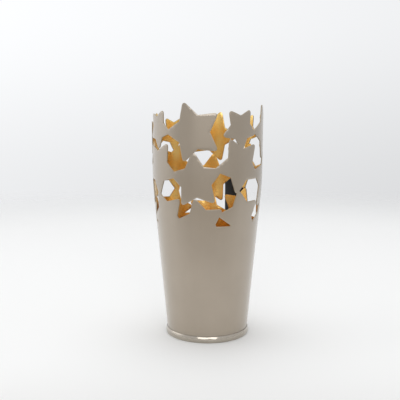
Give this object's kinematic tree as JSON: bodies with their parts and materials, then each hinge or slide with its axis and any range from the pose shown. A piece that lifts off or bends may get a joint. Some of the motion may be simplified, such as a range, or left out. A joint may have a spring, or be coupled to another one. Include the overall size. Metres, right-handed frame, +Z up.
{
  "type": "candle holder",
  "caption": "Tapered sheet-metal candle holder with a star-pierced upper wall, a seamed base and a swinging card tag.",
  "frame": {"origin": "centre of the ring that the base stands on", "axes": "+Z up along the tumbler's axis; the front that the picture shows faces -Y"},
  "size_m": [0.0958, 0.0968, 0.1999],
  "materials": {
    "taupe_lacquer": "satin taupe lacquer outside, gold lacquer inside",
    "base_lacquer": "satin taupe lacquer outside, gold lacquer inside",
    "black_card": "matt black card",
    "clear_nylon": "translucent nylon"
  },
  "bodies": {
    "holder": {"shell": "taupe_lacquer", "base_pan": "base_lacquer"},
    "tag": {"swing_tag": "black_card", "tag_loop": "clear_nylon"}
  },
  "joints": [
    {"name": "tag_swing", "type": "hinge", "parent": "holder", "child": "tag", "pos_m": [0.02514, 0.0402, 0.174], "axis": [0.8478, -0.5303, 0], "range_deg": [0, 55]}
  ]
}
